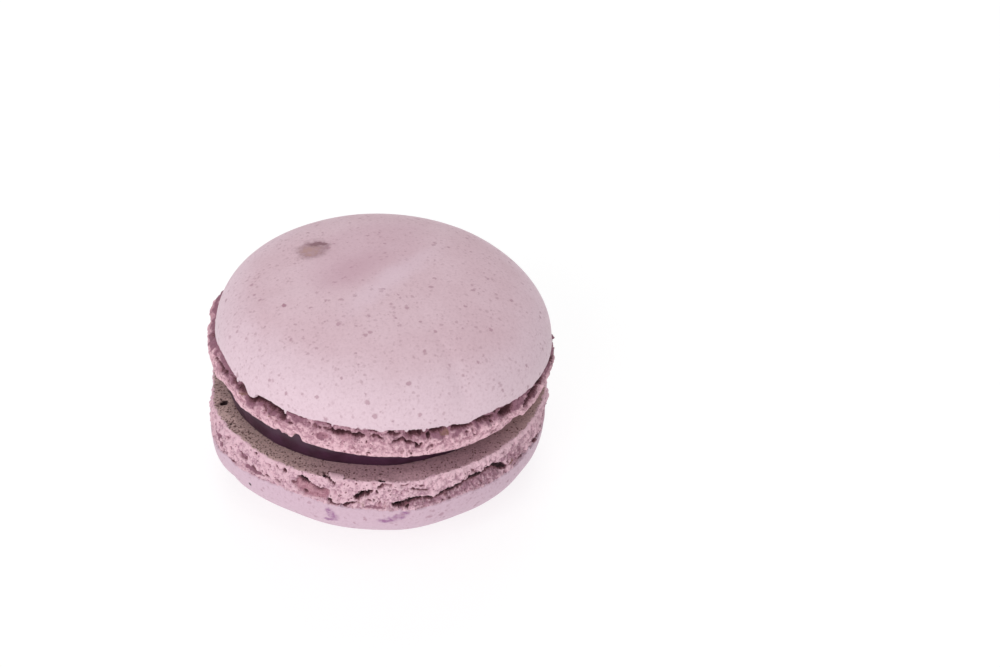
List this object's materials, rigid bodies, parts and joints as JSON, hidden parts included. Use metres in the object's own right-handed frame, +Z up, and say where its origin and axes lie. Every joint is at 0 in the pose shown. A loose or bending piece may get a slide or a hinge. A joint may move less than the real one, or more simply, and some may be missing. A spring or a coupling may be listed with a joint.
{
  "type": "macaron",
  "caption": "Round almond macaron: domed shells with ruffled crumb feet, held by a disc of dark filling, resting on its lower dome.",
  "frame": {"origin": "centre of the macaron's outline, at the flat spot under the lower dome that it rests on", "axes": "+Z up through both shells, -Y the shown front, +X the side where the upper shell leans down"},
  "size_m": [0.0462, 0.0459, 0.0301],
  "materials": {
    "shell": "baked almond meringue: smooth satin skin in pale mauve pink with fine darker almond specks, and a matt porous crumb foot with maroon hollows",
    "filling": "soft dark aubergine ganache, slightly glossy and smooth"
  },
  "bodies": {
    "root": {"lower_shell": "shell", "filling": "filling", "upper_shell": "shell"}
  },
  "joints": []
}
